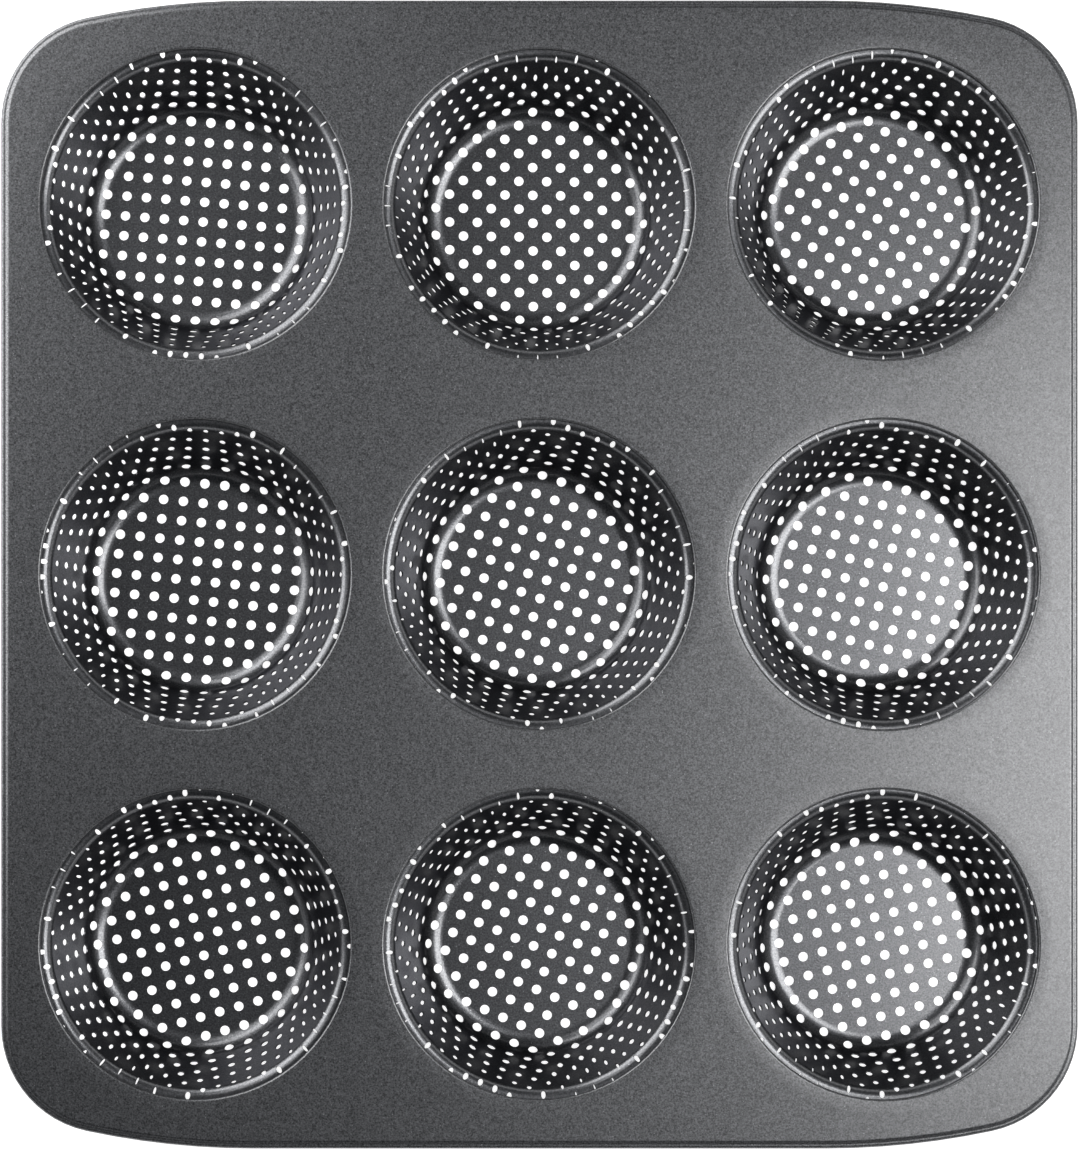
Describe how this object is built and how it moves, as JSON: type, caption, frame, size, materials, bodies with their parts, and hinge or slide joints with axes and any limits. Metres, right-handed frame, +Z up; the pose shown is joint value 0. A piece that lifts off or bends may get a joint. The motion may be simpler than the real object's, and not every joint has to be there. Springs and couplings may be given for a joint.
{
  "type": "bun pan",
  "caption": "Flat baking tray with a rolled rim and round, tapered, perforated cups seamed into it, for baking round buns.",
  "frame": {"origin": "centre of the pan on the surface it stands on, under the cup bases", "axes": "+Z up out of the cups, +X to the right across the pan, +Y along the longer side, away from the front"},
  "size_m": [0.355, 0.3786, 0.035],
  "materials": {
    "plate_coating": "dark grey metallic non-stick coating on steel sheet, satin, with a fine bright grain",
    "cup_coating": "dark grey metallic non-stick coating on perforated steel sheet, a little glossier than the plate"
  },
  "bodies": {
    "root": {"tray_plate": "plate_coating", "cup_front_left": "cup_coating", "cup_front_centre": "cup_coating", "cup_front_right": "cup_coating", "cup_middle_left": "cup_coating", "cup_middle_centre": "cup_coating", "cup_middle_right": "cup_coating", "cup_back_left": "cup_coating", "cup_back_centre": "cup_coating", "cup_back_right": "cup_coating"}
  },
  "joints": []
}
